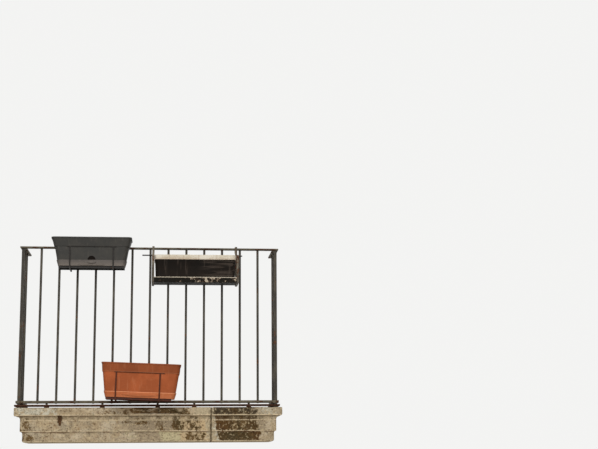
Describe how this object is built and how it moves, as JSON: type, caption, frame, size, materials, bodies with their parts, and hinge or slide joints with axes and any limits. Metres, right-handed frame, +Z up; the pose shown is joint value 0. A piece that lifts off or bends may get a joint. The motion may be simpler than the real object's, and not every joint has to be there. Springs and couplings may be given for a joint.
{
  "type": "iron balcony",
  "caption": "Shallow balcony that ends flat at the wall: a moulded stone slab, a wrought iron railing with short returns, and planting troughs hung outside it.",
  "frame": {"origin": "centre of the slab's face on the wall, on the wall plane", "axes": "+Z up, +Y into the wall, +X to the right seen from the street"},
  "size_m": [1.668, 0.54, 1.258],
  "materials": {
    "slab_stone": "weathered, stained limestone",
    "mortar": "old lime mortar",
    "painted_iron": "old dark paint with rust",
    "rusty_iron": "rusted, paint mostly gone",
    "lead": "dull lead",
    "grey_plastic": "matt, dusty",
    "brown_plastic": "matt, streaked",
    "pale_plastic": "sun-bleached",
    "orange_plastic": "matt, faded",
    "holder_wire": "dark lacquer",
    "rack_iron": "worn paint and rust",
    "soil": "dry potting soil"
  },
  "bodies": {
    "root": {"slab_left_stone": "slab_stone", "slab_right_stone": "slab_stone", "slab_mortar_joint": "mortar", "sill_packers": "rusty_iron", "sill_bar_front": "rusty_iron", "sill_bar_left": "rusty_iron", "sill_bar_right": "rusty_iron", "rail_spacers": "rusty_iron", "bottom_rail_front": "rusty_iron", "bottom_rail_left": "rusty_iron", "bottom_rail_right": "rusty_iron", "top_rail_front": "painted_iron", "top_rail_left": "painted_iron", "top_rail_right": "painted_iron", "corner_post_left": "painted_iron", "corner_post_right": "painted_iron", "post_leads": "lead", "front_bars": "painted_iron", "left_bars": "painted_iron", "right_bars": "painted_iron", "grey_trough": "grey_plastic", "grey_tray": "grey_plastic", "grey_soil": "soil", "grey_holder": "holder_wire", "brown_trough": "brown_plastic", "brown_trough_rim": "pale_plastic", "brown_soil": "soil", "rack_end_left": "rack_iron", "rack_end_right": "rack_iron", "rack_kerb": "rack_iron", "rack_slats": "rack_iron", "rack_back_rod": "holder_wire", "orange_trough": "orange_plastic", "orange_tray": "orange_plastic", "orange_soil": "soil", "orange_holder": "holder_wire", "orange_clamp": "painted_iron", "clamp_bolts": "rack_iron"}
  },
  "joints": []
}
